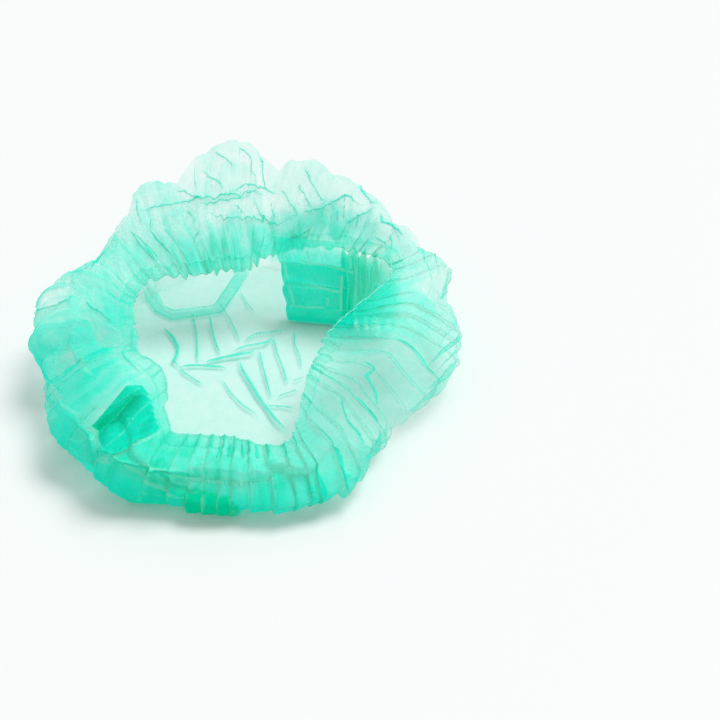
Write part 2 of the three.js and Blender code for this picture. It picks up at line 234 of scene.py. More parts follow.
WALL_CREASES = (
    # ply, width, rise, points
    *[(1.3, 1.0, 1.0, points) for points in FINE_CREASES],
    (1.0, 1.0, 1.0, ((-88, 162), (-78, 170), (-70, 204))),
    (1.5, 1.0, 1.0, ((-120, 130), (-117, 143), (-118, 152), (-115, 157), (-103, 167), (-84, 173),
                     (-78, 180), (-69, 202), (-33, 229), (-19, 232), (2, 229), (29, 203))),
    (1.5, 1.0, 1.0, ((-74, 198), (-68, 208), (-52, 217), (-34, 232), (-20, 234), (-12, 232),
                     (-2, 233), (3, 230))),
    (1.5, 1.0, 1.0, ((109, 147), (111, 142), (126, 129), (127, 122))),
    (1.6, 1.0, 1.0, ((85, 206), (100, 187), (101, 184), (111, 174), (113, 168), (114, 154),
                     (125, 135))),
    (2.0, 1.0, 1.0, ((130, 114), (135, 105), (142, 102), (150, 94), (150, 88))),
    (1.2, 1.0, 1.0, ((-75, 207), (-36, 242), (-30, 244), (-5, 245), (11, 239), (23, 223),
                     (32, 216), (33, 214), (37, 212), (49, 219), (59, 219), (71, 209), (85, 206))),
    (1.6, 1.2, 1.6, ((162, -30), (144, -33), (123, -32))),
    (1.6, 1.2, 1.6, ((135, -55), (128, -62), (119, -66), (107, -64), (98, -64))),
    (1.6, 1.2, 1.6, ((103, -80), (94, -77), (85, -70))),
    (1.6, 1.2, 1.6, ((99, -96), (91, -103), (86, -96), (79, -90))),
    (1.4, 1.2, 1.4, ((73, -126), (70, -113), (68, -102))),
    (1.2, 1.0, 1.0, ((-133, 16), (-148, 10), (-162, 4))),
    (1.2, 1.3, 1.4, ((-165, 9), (-174, -5), (-181, -14))),
    (1.4, 1.1, 1.2, ((-168, -76), (-158, -101), (-142, -122))),
    (1.4, 1.5, 2.4, ((-113, -91), (-100, -102), (-89, -108), (-81, -102))),
    (1.4, 1.5, 2.2, ((-86, -111), (-77, -131), (-81, -144))),
    (1.4, 1.8, 2.6, ((-80, -122), (-67, -124), (-55, -124), (-36, -127), (-22, -129))),
    (1.6, 1.5, -1.6, ((-52, -125), (-35, -121), (-22, -119))),
    (2.2, 2.0, 1.4, ((-15.8, -150.2), (-14.7, -140.2))),
    (2.4, 2.0, 1.4, ((-5.3, -151.9), (-5.0, -141.9))),
    (2.4, 2.2, 1.4, ((6.7, -152.9), (6.2, -142.9))),
    (2.2, 2.0, 1.4, ((20.2, -153.2), (18.9, -143.3))),
    (2.0, 1.8, 1.4, ((32.2, -151.6), (30.1, -141.8))),
)
# Folds whose edge catches the light, which the material paints with a highlight
PALE_CREASES = (
    # ply, width, points
    (1.6, 1.4, ((-79, -123), (-56, -125), (-28, -127), (-12, -128), (4, -128), (19, -132))),
    (1.6, 1.4, ((19, -132), (30, -137), (38, -138), (44, -132), (48, -126))),
    (1.6, 2.6, ((-80, -110), (-79, -123), (-77, -131), (-76, -138), (-78, -146))),
    (1.4, 1.4, ((-102, -107), (-93, -105), (-83, -105))),
    (1.4, 1.6, ((-146, -42), (-148, -64), (-140, -91))),
    (1.2, 1.2, ((-125, -71), (-114, -94), (-99, -108), (-88, -112))),
    (1.4, 1.4, ((-73, -124), (-58, -120), (-42, -117), (-30, -115))),
    (1.0, 1.0, ((-159, 12), (-173, -13), (-175, -40))),
    (1.0, 1.2, ((158, -35), (141, -31), (126, -28))),
    (1.0, 1.0, ((181, -21), (158, -35), (150, -35))),
    (0.8, 1.0, ((133, -87), (114, -77), (100, -65))),
    (0.8, 1.0, ((111, -109), (93, -97), (85, -77))),
    (0.8, 1.0, ((100, -122), (85, -110), (77, -90))),
    (0.8, 1.0, ((176, 29), (163, 15), (146, 11))),
    (0.8, 1.0, ((175, -4), (151, -19), (138, -10))),
)
# Fold edges on the front of the right stack: points as length along it and height
STACK_EDGES = (
    ((6, 45), (20, 44), (38, 41)),
    ((2, 32), (14, 31), (30, 29)),
    ((1, 16), (10, 16.5), (21, 17.5)),
    ((-5, 50), (-2, 37), (2, 22), (3, 16)),
    ((31, 39), (31, 16)),
    ((40, 51), (39.5, 36), (39, 19)),
    ((43, 51), (45, 42), (46, 33)),
    ((23, 25), (23, 19)),
    ((50, 50), (52, 38)),
    ((35, 50), (36, 43)),
    ((48, 46), (49, 30)),
    ((10, 52), (12, 46)),
)
# Flat folds, where the cloth lies in more layers: ply, half width, rise, points
FLOOR_BANDS = (
    (0.9, 3.4, 1.4, ((-70, 88), (-55, 59), (-47, 54), (-35, 56), (-20, 59), (-16, 70), (-7, 96))),
)
WALL_BANDS = (
    (1.3, 4.0, 1.0, ((-134, 27), (-141, 32), (-152, 31))),
    (1.4, 8.0, 1.4, ((-152, -33), (-156, -70))),
    (0.0, 7.0, 3.5, ((-22, -114), (-4, -113))),
)

# Section of the casing: distance from the rim, how far it stands off the cloth, and plies
CASING_SECTION = (
    (7.0, 0.25, 1.1), (6.4, 0.35, 0.4), (4.6, 0.6, 0.3), (2.4, 0.8, 0.3), (0.6, 0.9, 0.4),
    (-0.5, 0.8, 0.6), (-1.0, 0.4, 1.2), (-1.1, 0.0, 1.2), (-1.0, -0.4, 1.2), (-0.5, -0.8, 0.6),
    (0.6, -0.9, 0.4), (2.4, -0.8, 0.3), (4.6, -0.6, 0.3), (6.4, -0.35, 0.4), (7.0, -0.25, 1.1),
)
# Packed pleats: where each stack starts and ends on the table, and the zigzag of the right
# one's two parts, as depth and height, and as length and depth
RIGHT_STACK = ((24, 51), (93, 41))
LEFT_STACK = ((-49, -41), (-75, -63))
FLAT_FOLDS = (
    (-5, 53), (4.6, 43), (-4.4, 37.5), (4.6, 31), (-4.4, 23), (4.6, 15.5), (-4.4, 9.5),
    (4.6, 3.6), (-2, 2),
)
UPRIGHT_FOLDS = (
    (30, -4), (34, 4.8), (37.5, -4), (41.5, 4.8), (44, -4), (46.5, 4.8), (50, -4), (54, 4.4),
    (57.5, -3.6), (61, 3.6), (64, -2),
)
FLAT_FOLDS_PLY = 5.5
UPRIGHT_FOLDS_PLY = ((0, 0.4, 1), (6.0, 4.2, 0.4))  # shares of the width, and plies there
STACK_EDGE_PLY = 3.4
STACK_LEAN = (-7, 20, 52)  # way to the mouth at the top, and the heights over which it grows
STACK_TOP_FADE = (0.82, 35, 50)  # share of the plies that is missing at the top, and heights
LEFT_FOLDS = (12, 2.7, 3.4)  # number, pitch and half depth of the folds
LEFT_STACK_PLY = 12.0

# The mesh of the crown
FLOOR_RINGS = ((15, 90, 1.0), (30, 180, 1.0), (60, 360, 1.0), (99, 720, 1.3))
FIRST_RING = 1.2
MEAN_FOOT = 99
WALL_ROWS = 84
FLOOR_LIFT = 0.5  # cloth above the table
LOWEST = 0.2
FOLD_STEP = 0.6  # between points along a fold

THREAD = 0.6  # diameter of the elastic
THREAD_SIDES = 8
THREAD_OUT = 0.5  # how far it lies beyond the cloth's edge, inside the casing
RIM_GAP = 0.3  # degrees between a seal and the hem
SEAL_SPAN = (0.3, 0.58)  # stretch of the wall that each end seal covers
SEAL_THICKNESS = 0.9
SEAL_OUT = 1.3  # middle of the seal beyond the cloth
SEAL_HALF_DEPTH = 1.4
SEAL_BAR_PITCH = 1.8
SEAL_BAR_HEIGHT = 0.1
SEAL_PLY = 0.5

# Where things change on the wall, in mm along the cloth
LIP_STEPS = ((3.6, -14, -1), (-6.6, 0, 2.5), (3.0, 6, 26))  # push out, from and to, below the lip
PLEAT_FADE = 12  # floor inside the foot on which the pleats fade out
PLEAT_RISE = 14  # wall beyond the foot on which they grow to their full depth
CREASE_TURN = (2, 8)  # beyond the foot, where the wall's charted folds take over
HEM_LAYERS = (6, 32)  # below the rim, where the layers beside the hem end

LATTICE = 64  # cells after which the noise repeats
CELL_SHIFT = 1000
# Crumple and noise: amount, size of the lumps, and seed
CRUMPLE = (2.4, 27, 31)
FINE_CRUMPLE = (1.1, 13, 32)
BROAD_CRUMPLE = (2.2, 46, 34)
WRINKLES = (0.15, 6, 33)
FLOOR_SLACK = (0.7, 20, 21)
FLOOR_WRINKLES = (0.2, 7, 22)
UNEVEN_LAYERS = (0.2, 33, 71)
RING_WANDER = (0.25, 60, 41)
PLEAT_WANDER = (0.2, 25, 51)
PLEAT_POWER = (0.7, 42, 52)
DOUBLED_PATCHES = ((44, 81), (30, 82), (21, 83))  # size and seed
DOUBLED_FROM = 0.12  # the facets above it are double cloth
DOUBLED_HEIGHT = 0.9
RING_HEIGHT = 1.2  # of the accordion's edges
CRIMPS = ((1.0, 5, 28, 91), (0.6, 11, 20, 92))  # amount, number in a pleat, length and seed
CRIMP_HEIGHT = 0.16
RIB_PITCH = 2.6  # fine ribs across the unopened pleats
RIB_HEIGHT = 0.08

# The hem and its gathers
FRONT = 266  # azimuth of the middle of the front
FRONT_FADE = (22, 38)  # degrees from there over which its wide gathers end
GATHER_HEIGHT = 1.1
FINE_GATHER_HEIGHT = 0.45
GATHER_PHASE = 1.3
HEM_OVER = 0.6  # how far pleats fold over at the hem

# Plies of cloth, and what they look like
FLOOR_PLY = 0.37  # the floor is pulled flat and thin, and its plies are set lower still as painted light, so that it looks bright where the walls shade it
LEAST_PLY = 0.15
LIP_PLY = 1.3  # added below the lip of the front's roll
HEM_PLY = 0.4  # share of the wall's plies that each face of the casing has
HEM_PLIES = (0.9, 2.0)
EDGE_PLY = 0.8  # cloth that a sharp fold adds
SHARP_BEND = 900  # curvature of a sharp fold, in 1/m
BEND_HIGHLIGHT = 0.5  # how strong the painted highlight on a sharp fold of thick cloth is

# Pressed creases
LINE_WIDTH = 0.7  # of the soft ridge under a crease
SOFT_SHARE = 0.25  # part of a crease's cloth that lies in the soft ridge
BAND_EDGE = 0.6  # half width of a flat fold's soft edge
PINCH_WIDTH = 0.5  # half width of a pinch
PINCH_HEIGHT = 0.5
PINCH_GAP = 0.25  # between the cloth and the foot of a pinch
WALL_PINCH_PLY = 1.3
FLOOR_PINCH_PLY = 0.9

FABRIC_COLOUR = (0.014, 0.90, 0.71)
DEEP_COLOUR = (0.001, 0.70, 0.40)
# Pale colour painted on sharp folds and light-catching creases: a painted highlight
HIGHLIGHT_COLOUR = (0.40, 0.96, 0.82)
ELASTIC_COLOUR = (0.45, 0.92, 0.78, 1)
TABLE_COLOUR = (0.74, 0.75, 0.75, 1)

# The scene: metres and degrees
TABLE_SIZE = 12
ROOM_STRENGTH = 0.68
LAMP_STRENGTH = 2.15
LAMP_WIDTH = 30
LAMP_TILT = 28
LAMP_TURN = 125
LENS = 80  # mm
SENSOR = 36  # mm
ELEVATION = 42  # of the camera above the table
DISTANCE = 0.928
AIM = (0.065, 0.016, 0.0)


def lattice(seed):
    return np.random.default_rng(seed).uniform(-1, 1, (LATTICE, LATTICE))


def ramp(value, low, high):
    """0 below low, 1 above high, and a smooth step between."""
    t = np.clip((value - low) / (high - low), 0, 1)
    return t * t * (3 - 2 * t)


def zigzag(value):
    """Triangle wave between -1 and 1, with a period of 2."""
    return 2 * np.abs(value % 2 - 1) - 1


def unit(vectors):
    return vectors / np.linalg.norm(vectors, axis=-1, keepdims=True)


def noise(x, y, size, seed):
    """Smooth noise from -1 to 1 over a plane, with lumps of about the given size."""
    grid = lattice(seed)
    u, v = x / size + CELL_SHIFT, y / size + CELL_SHIFT
    i, j = np.floor(u).astype(int), np.floor(v).astype(int)
    su, sv = ramp(u - i, 0, 1), ramp(v - j, 0, 1)
    west, east, south, north = (k % LATTICE for k in (i, i + 1, j, j + 1))
    a, b, c, d = grid[west, south], grid[east, south], grid[west, north], grid[east, north]
    return (a * (1 - su) + b * su) * (1 - sv) + (c * (1 - su) + d * su) * sv


def facets(x, y, size, seed):
    """Crumpled sheet from -1 to 1: flat facets of about the given size, creased between."""
    grid = lattice(seed)
    u = x / size + 0.5 * noise(x, y, size * 1.7, seed + 100) + CELL_SHIFT
    v = y / size + 0.5 * noise(x, y, size * 1.7, seed + 200) + CELL_SHIFT
    i, j = np.floor(u).astype(int), np.floor(v).astype(int)
    fu, fv = u - i, v - j
    flip = (i + j) % 2 == 1
    fu = np.where(flip, 1 - fu, fu)
    corners = (np.where(flip, i + 1, i), np.where(flip, i, i + 1), j, j + 1)
    near, far, south, north = (k % LATTICE for k in corners)
    a, b, c, d = grid[near, south], grid[far, south], grid[near, north], grid[far, north]
    low = a + (b - a) * fu + (c - a) * fv
    high = d + (c - d) * (1 - fu) + (b - d) * (1 - fv)
    return np.where(fu + fv < 1, low, high)


def hermite(start, end, slope_start, slope_end, span, share):
    """A cubic from start to end over a span, with the slopes given at both ends."""
    square, cube = share**2, share**3
    return (
        (2 * cube - 3 * square + 1) * start
        + (cube - 2 * square + share) * span * slope_start
        + (3 * square - 2 * cube) * end
        + (cube - square) * span * slope_end
    )


def periodic(rows, column, azimuth):
    """Smooth value of one column of a table whose first column is the azimuth."""
    table = np.array(rows, dtype=float)
    table = table[np.argsort(table[:, 0])]
    turn = table[:, 0]
    value = table[:, column]
    count = len(turn)
    azimuth = np.asarray(azimuth, dtype=float) % 360
    after = np.searchsorted(turn, azimuth, side="right") % count
    start = (after - 1) % count

    def apart(a, b):
        return (turn[b % count] - turn[a % count]) % 360

    span = apart(start, after)
    share = ((azimuth - turn[start]) % 360) / span
    slope_start = (value[after] - value[(start - 1) % count]) / apart(start - 1, after)
    slope_end = (value[(after + 1) % count] - value[start]) / apart(start, after + 1)
    return hermite(value[start], value[after], slope_start, slope_end, span, share)


def fold_value(column, azimuth, folds=WALL_FOLDS):
    """Sum of one column of the folds, each faded out over its half width."""
    total = np.zeros_like(azimuth)
    for row in folds:
        off = np.abs((azimuth - row[0] + 540) % 360 - 180)
        share = np.clip(1 - off / row[1], 0, 1)
        total += row[column] * (0.5 * share + 0.5 * np.sin(share * math.pi / 2) ** 2)
    return total


def spline(points, steps):
    """A curve through each row of points, drawn part of the way to straight panels."""
    lengths = np.sqrt(np.linalg.norm(np.diff(points, axis=1), axis=2))
    knots = np.concatenate([np.zeros((len(points), 1)), np.cumsum(lengths, axis=1)], axis=1)
    last = points.shape[1] - 1
    curve = []
    for k in range(1, last):
        here, there = points[:, k], points[:, k + 1]
        span = (knots[:, k + 1] - knots[:, k])[:, None]
        slope_here = (there - points[:, k - 1]) / (knots[:, k + 1] - knots[:, k - 1])[:, None]
        if k + 2 <= last:
            slope_there = (points[:, k + 2] - here) / (knots[:, k + 2] - knots[:, k])[:, None]
        else:
            slope_there = (there - here) / span
        for t in np.linspace(0, 1, steps, endpoint=k == last - 1):
            smooth = hermite(here, there, slope_here, slope_there, span, t)
            straight = here + (there - here) * t
            curve.append(smooth * (1 - EDGE) + straight * EDGE)
    return np.stack(curve, axis=1)


class Crown:
    """The smooth crown, as a table over azimuth and distance along the cloth."""

    STEPS = 720
    WALL = 160
    CURVE_STEPS = 40

    def __init__(self):
        azimuth = np.arange(self.STEPS) * 360 / self.STEPS
        column = [periodic(CUTS, k, azimuth) for k in range(8)]
        self.foot = column[7]
        flat = np.zeros_like(self.foot)
        points = self.cut_points(azimuth, column)
        lead = np.stack([self.foot - FLOOR_LEAD, flat], axis=1)
        base = np.stack([self.foot, flat], axis=1)
        curve = spline(np.stack([lead, base, *points], axis=1), self.CURVE_STEPS)
        steps = np.linalg.norm(np.diff(curve, axis=1), axis=2)
        along = np.concatenate([np.zeros((self.STEPS, 1)), np.cumsum(steps, axis=1)], axis=1)
        self.length = along[:, -1]
        share = np.linspace(0, 1, self.WALL)
        self.wall = np.stack(
            [
                np.stack([np.interp(share * total, s, c[:, k]) for k in (0, 1)], axis=1)
                for s, c, total in zip(along, curve, self.length)
            ]
        )

    def cut_points(self, azimuth, column):
        """Girth, shoulder, foot of the hem's strip and rim of each cut, with its folds."""
        rim = np.stack([column[1] - fold_value(2, azimuth, RIM_SHIFTS), column[2]], axis=1)
        girth = np.stack([column[5] + fold_value(4, azimuth), column[6]], axis=1)
        shoulder_out = column[3] + fold_value(2, azimuth)
        shoulder = np.stack([shoulder_out, column[4] + fold_value(3, azimuth)], axis=1)
        strip = rim + unit(shoulder - rim) * HEM_STRIP
        return girth, shoulder, strip, rim

    def weights(self, azimuth):
        place = (azimuth % 360) / 360 * self.STEPS
        low = np.floor(place).astype(int)
        return low % self.STEPS, (low + 1) % self.STEPS, place - low

    def mix(self, values, azimuth):
        low, high, f = self.weights(azimuth)
        return values[low] * (1 - f) + values[high] * f

    def total(self, azimuth):
        """Cloth from the middle of the floor to the rim."""
        return self.mix(self.foot, azimuth) + self.mix(self.length, azimuth)

    def point(self, azimuth, along):
        """Place on the smooth crown."""
        foot, length = self.mix(self.foot, azimuth), self.mix(self.length, azimuth)
        place = np.maximum((along - foot) / length, 0) * (self.WALL - 1)
        j = np.clip(np.floor(place).astype(int), 0, self.WALL - 2)
        g = (place - j)[..., None]
        low, high, f = self.weights(azimuth)
        f = f[..., None]
        near = self.wall[low, j] * (1 - g) + self.wall[low, j + 1] * g
        far = self.wall[high, j] * (1 - g) + self.wall[high, j + 1] * g
        rz = near * (1 - f) + far * f
        r = np.where(along < foot, along, rz[..., 0])
        z = np.where(along < foot, 0, rz[..., 1])
        angle = np.radians(azimuth)
        return np.stack([r * np.cos(angle), r * np.sin(angle), z + FLOOR_LIFT], axis=-1)

    def normal(self, azimuth, along):
        """Unit normal that points out of the crown, down on the floor."""
        turn, step = 0.6, 1.0
        around = self.point(azimuth + turn, along) - self.point(azimuth - turn, along)
        up = self.point(azimuth, along + step) - self.point(azimuth, along - step)
        return unit(np.cross(around, up))


crown_form = Crown()


class PleatLine:
    """Counts the pleats round the cap, each as wide as the table says at the girth."""

    STEPS = 3600
    UNEVEN = 0.36  # share of a pleat by which the folds wander
    STRENGTHS = (0.35, 1.4)

    def __init__(self):
        azimuth = np.arange(self.STEPS + 1) * 360 / self.STEPS
        girth = periodic(CUTS, 5, azimuth)
        width = periodic(PLEATS, 1, azimuth)
        rate = girth * math.radians(360 / self.STEPS) / width
        count = np.concatenate([[0], np.cumsum(rate[:-1])])
        self.total = round(count[-1])
        self.azimuth = azimuth
        self.count = count * self.total / count[-1]
        self.uneven = np.random.default_rng(11).uniform(-self.UNEVEN, self.UNEVEN, self.total)
        self.strength = np.random.default_rng(12).uniform(*self.STRENGTHS, self.total)

    def between(self, values, place):
        """The value of a pleat, blended smoothly into the next pleat's."""
        low = np.floor(place).astype(int)
        share = ramp(place - low, 0, 1)
        return values[low % self.total] * (1 - share) + values[(low + 1) % self.total] * share

    def even(self, azimuth):
        return np.interp(azimuth % 360, self.azimuth, self.count)

    def place(self, azimuth):
        """Pleats counted up to an azimuth, of uneven widths."""
        even = self.even(azimuth)
        return even + self.between(self.uneven, even)

    def width(self, azimuth):
        """Degrees that one pleat takes."""
        step = 0.5
        pleats = (self.even(azimuth + step) - self.even(azimuth - step)) % self.total
        return 2 * step / np.maximum(pleats, 1e-6)

    def power(self, place):
        """How strong the pleats are at a place."""
        return self.between(self.strength, place)


pleat_line = PleatLine()


def line_distance(x, y, points):
    """Distance to a polyline, the same with its sign, and the share along it."""
    best = np.full(x.shape, 1e9)
    signed = np.zeros(x.shape)
    share = np.zeros(x.shape)
    points = np.array(points, dtype=float)
    lengths = np.linalg.norm(np.diff(points, axis=0), axis=1)
    before = np.concatenate([[0], np.cumsum(lengths)])
    for k, length in enumerate(lengths):
        a, b = points[k], points[k + 1]
        way = (b - a) / length
        t = np.clip((x - a[0]) * way[0] + (y - a[1]) * way[1], 0, length)
        dx, dy = x - a[0] - way[0] * t, y - a[1] - way[1] * t
        distance = np.hypot(dx, dy)
        side = np.sign(way[0] * dy - way[1] * dx)
        nearer = distance < best
        best = np.where(nearer, distance, best)
        signed = np.where(nearer, distance * side, signed)
        share = np.where(nearer, (before[k] + t) / before[-1], share)
    return best, signed, share


def charted(x, y, creases, bands):
    """Plies and height that the charted folds add."""
    ply, rise = np.zeros_like(x), np.zeros_like(x)
    for extra, width, height, points in creases:
        low, high = np.min(points, axis=0) - 4 * width, np.max(points, axis=0) + 4 * width
        near = (x > low[0]) & (x < high[0]) & (y > low[1]) & (y < high[1])
        distance, _, share = line_distance(x[near], y[near], points)
        ends = 0.3 + 0.7 * ramp(share, 0, 0.12) * ramp(1 - share, 0, 0.12)
        ridge = np.exp(-((distance / (LINE_WIDTH * width)) ** 2)) * ends
        ply[near] += extra * ridge
        rise[near] += height * ridge
    ply *= SOFT_SHARE
    for extra, width, height, points in bands:
        distance, signed, _ = line_distance(x, y, points)
        inside = 1 - ramp(distance, width - BAND_EDGE, width + BAND_EDGE)
        ply += extra * inside
        rise += height * inside * (0.6 + 0.4 * signed / width)
    return ply, rise


def front_roll(azimuth, from_rim):
    """How far the roll of the front wall stands out, and 1 just below its lip."""
    turn, place, size = np.array(LIP).T
    below = from_rim - np.interp(azimuth % 360, turn, place)
    size = np.interp(azimuth % 360, turn, size)
    out = sum(push * ramp(below, near, far) for push, near, far in LIP_STEPS)
    return out * size, ramp(below, 0, 2.5) * (1 - ramp(below, 8, 30)) * size


class Chart:
    """Points of the cloth laid out flat, and how high on the crown each one lies."""

    def __init__(self, azimuth, along):
        self.azimuth = azimuth
        self.x = along * np.cos(np.radians(azimuth))
        self.y = along * np.sin(np.radians(azimuth))
        self.from_rim = crown_form.total(azimuth) - along
        foot = crown_form.mix(crown_form.foot, azimuth)
        self.wall = ramp(along, foot - PLEAT_FADE, foot + PLEAT_RISE)
        self.upper = ramp(along, foot + CREASE_TURN[0], foot + CREASE_TURN[1])

    def lumps(self, amount, size, seed):
        return amount * noise(self.x, self.y, size, seed)

    def facets(self, amount, size, seed):
        return amount * facets(self.x, self.y, size, seed)

    def table(self, rows, column):
        return periodic(rows, column, self.azimuth)

    def below(self, start, end):
        """0 from the rim down to a distance, and 1 further down than a second one."""
        return ramp(self.from_rim, start, end)


def base_layers(chart):
    """Plies of the thin floor and of the wall, which has more beside the hem."""
    beside_hem = 1 - chart.below(*HEM_LAYERS)
    plies = chart.table(DENSITY, 1) * beside_hem + chart.table(DENSITY, 2) * (1 - beside_hem)
    plies = plies * (1 + chart.lumps(*UNEVEN_LAYERS)) * (0.6 + 0.4 * chart.below(4, 9))
    return FLOOR_PLY + (plies - FLOOR_PLY) * chart.wall


def charted_folds(chart):
    """Plies and height of the folds that are charted on the floor and on the wall."""
    floor_ply, floor_rise = charted(chart.x, chart.y, FLOOR_CREASES, FLOOR_BANDS)
    wall_ply, wall_rise = charted(chart.x, chart.y, WALL_CREASES, WALL_BANDS)
    upper, lower = chart.upper, 1 - chart.upper
    return floor_ply * lower + wall_ply * upper, floor_rise * lower - wall_rise * upper


def slack(chart):
    """Height of the loose floor above its lowest place."""
    waves = FLOOR_SLACK[0] + chart.facets(*FLOOR_SLACK)
    return (waves + np.abs(chart.lumps(*FLOOR_WRINKLES))) * (1 - chart.wall)


def doubled_cloth(chart):
    """1 where the wall is folded double, in patches with straight edges."""
    doubled = np.zeros_like(chart.azimuth)
    for size, seed in DOUBLED_PATCHES:
        doubled += ramp(chart.facets(1, size, seed), DOUBLED_FROM, DOUBLED_FROM + 1.6 / size)
    return doubled * chart.wall * chart.below(8, 16)


def patch_layers(chart):
    """Plies of the charted patches."""
    plies = np.zeros_like(chart.azimuth)
    for extra, width, soft, points in PATCHES:
        distance, _, _ = line_distance(chart.x, chart.y, points)
        plies += extra * chart.upper * (1 - ramp(distance, width - soft / 2, width + soft / 2))
    return plies


def crumple(chart, doubled):
    """How far the crumple and the accordion's edges push the wall out."""
    push = chart.facets(*CRUMPLE) + chart.facets(*FINE_CRUMPLE) + chart.lumps(*WRINKLES)
    push = push * (0.25 + 0.75 * chart.below(4, 22)) * chart.wall
    push += chart.facets(*BROAD_CRUMPLE) * chart.wall * chart.below(10, 30)
    push += DOUBLED_HEIGHT * doubled
    ring = zigzag(chart.from_rim / PANEL + chart.lumps(*RING_WANDER))
    push += RING_HEIGHT * ring * chart.wall * chart.below(6, 18)
    return push * chart.table(PLEATS, 6)


def pleats(chart, count):
    """The pleats up the wall, which lie over their neighbours.

    Gives the count of turns, their wave, the turn in degrees to the side, and the lift.
    """
    power = pleat_line.power(count) * np.clip(0.8 + chart.lumps(*PLEAT_POWER), 0.15, 2)
    slant = 0.5 * chart.table(PLEATS, 5) * zigzag(chart.from_rim / PANEL)
    turns = count + slant * chart.below(5, 20) + chart.lumps(*PLEAT_WANDER)
    gathered = chart.below(5, 13) * (1 - chart.below(24, 42))
    over = chart.table(PLEATS, 2) * (1 - gathered) + chart.table(PLEATS, 3) * gathered
    over = (HEM_OVER + (over * power - HEM_OVER) * chart.below(4, 12)) * chart.wall
    wave = np.sin(2 * math.pi * turns)
    shift = -over / (2 * math.pi) * wave * pleat_line.width(chart.azimuth)
    crisp = 0.8 * (1 - ramp(over, 1.0, 2.2))
    fold = (1 - crisp) * wave + crisp * np.arcsin(wave) * 2 / math.pi
    depth = chart.table(PLEATS, 4) * power * chart.wall * chart.below(3, 12)
    return turns, wave, shift, depth * (fold + 0.2 * np.sin(4 * math.pi * turns + 0.8))


def crimps(chart, turns):
    """Fine crimps that run up the wall, about -1 to 1."""
    streak = np.zeros_like(turns)
    for amount, many, length, seed in CRIMPS:
        streak += amount * noise(turns * many, chart.from_rim / length, 1, seed)
    return streak * chart.wall


def gathers(chart, count, turns):
    """Lift and plies of the hem's gathers: two to a pleat, but one to a pleat at the front. The plies
    are partly painted shade.
    """
    front = 1 - ramp(np.abs(chart.azimuth % 360 - FRONT), *FRONT_FADE)
    two = np.sin(4 * math.pi * count + GATHER_PHASE)
    one = np.sin(2 * math.pi * count + GATHER_PHASE)
    gather = (1 - front) * two + front * one
    tight = np.clip(chart.table(DENSITY, 4), 0, 2) * chart.wall
    lift = GATHER_HEIGHT * (1 - chart.below(7, 18)) * gather * tight
    fine = np.sin(8 * math.pi * turns + chart.lumps(1, 15, 53))
    lift += FINE_GATHER_HEIGHT * tight * fine * (1 - chart.below(25, 50))
    reach = 6 + 6 * front
    # The lobes get extra plies, dark teeth along the hem: cloth bunched by the gathers, and painted
    # shade that makes their shading stronger
    teeth = (0.5 + 0.5 * gather) ** 4 * (1 - chart.below(reach, reach + 4))
    return lift, teeth * (1.2 + 1.6 * front) * tight


def cloth(azimuth, along, side=0.0, hem=False):
    """Place of the cloth and how many plies it has, for a point of the flat chart.

    azimuth and along are the point's place before folding. side moves the point out of
    the crown by a length, as the hem's casing needs.
    """
    chart = Chart(azimuth, along)
    count = pleat_line.place(azimuth)
    turns, wave, shift, lift = pleats(chart, count)
    streak = crimps(chart, turns)
    gather_lift, gather_plies_and_shade = gathers(chart, count, turns)
    doubled = doubled_cloth(chart)
    roll, below_lip = front_roll(azimuth, chart.from_rim)

    ply, rise = base_layers(chart), 0
    if not hem:
        extra, rise = charted_folds(chart)
        ply = ply + extra
    ply = ply + doubled * chart.table(DENSITY, 3) + patch_layers(chart)
    ply = np.maximum(ply, LEAST_PLY) + LIP_PLY * below_lip
    ply = ply * (1 + 0.3 * streak * chart.below(4, 10)) + gather_plies_and_shade
    if hem:
        ply = np.clip(ply * HEM_PLY, *HEM_PLIES)

    push = crumple(chart, doubled) * (1 - 0.5 * np.abs(roll) / 3) + roll
    out = lift + gather_lift + CRIMP_HEIGHT * streak + push + side - rise - slack(chart)
    position = crown_form.point(azimuth + shift, along)
    position = position + out[..., None] * crown_form.normal(azimuth + shift, along)
    lowest = LOWEST + 0.25 * (1 + wave) * chart.wall
    position[..., 2] = np.maximum(position[..., 2], lowest)
    return position, ply


def mesh_object(name, vertices, faces):
    """A smooth mesh object from positions in millimetres."""
    mesh = bpy.data.meshes.new(name)
    mesh.from_pydata([tuple(v) for v in np.asarray(vertices) * MM], [], [tuple(f) for f in faces])
    mesh.update()
    mesh.polygons.foreach_set("use_smooth", [True] * len(mesh.polygons))
    piece = bpy.data.objects.new(name, mesh)
    bpy.context.scene.collection.objects.link(piece)
    return piece


def store(piece, name, values):
    attribute = piece.data.attributes.new(name, "FLOAT", "POINT")
    attribute.data.foreach_set("value", np.asarray(values, dtype=np.float32).ravel())


def grid_faces(rows, columns, closed):
    """Quads of a grid that is stored row after row. closed joins the last column to the first."""
    last = columns if closed else columns - 1
    r, c = np.meshgrid(np.arange(rows - 1), np.arange(last), indexing="ij")
    here, there = r * columns + c, r * columns + (c + 1) % columns
    return np.stack([here, there, there + columns, here + columns], axis=-1).reshape(-1, 4)


def doubling_faces(coarse, first, second):
    """Triangles between a ring of some columns and the next ring, which has twice as many."""
    k = np.arange(coarse)
    here, there = first + k, first + (k + 1) % coarse
    a, b = second + 2 * k, second + 2 * k + 1
    c = second + (2 * k + 2) % (2 * coarse)
    return [np.stack(t, axis=-1) for t in ((here, b, a), (here, there, b), (there, c, b))]


def tube_object(name, points):
    """A closed tube from rings of points, as rows of a grid, with flat ends."""
    rows, columns, _ = points.shape
    faces = grid_faces(rows, columns, True).tolist()
    faces.append(list(reversed(range(columns))))
    faces.append(list(range((rows - 1) * columns, rows * columns)))
    return mesh_object(name, points.reshape(-1, 3), faces)


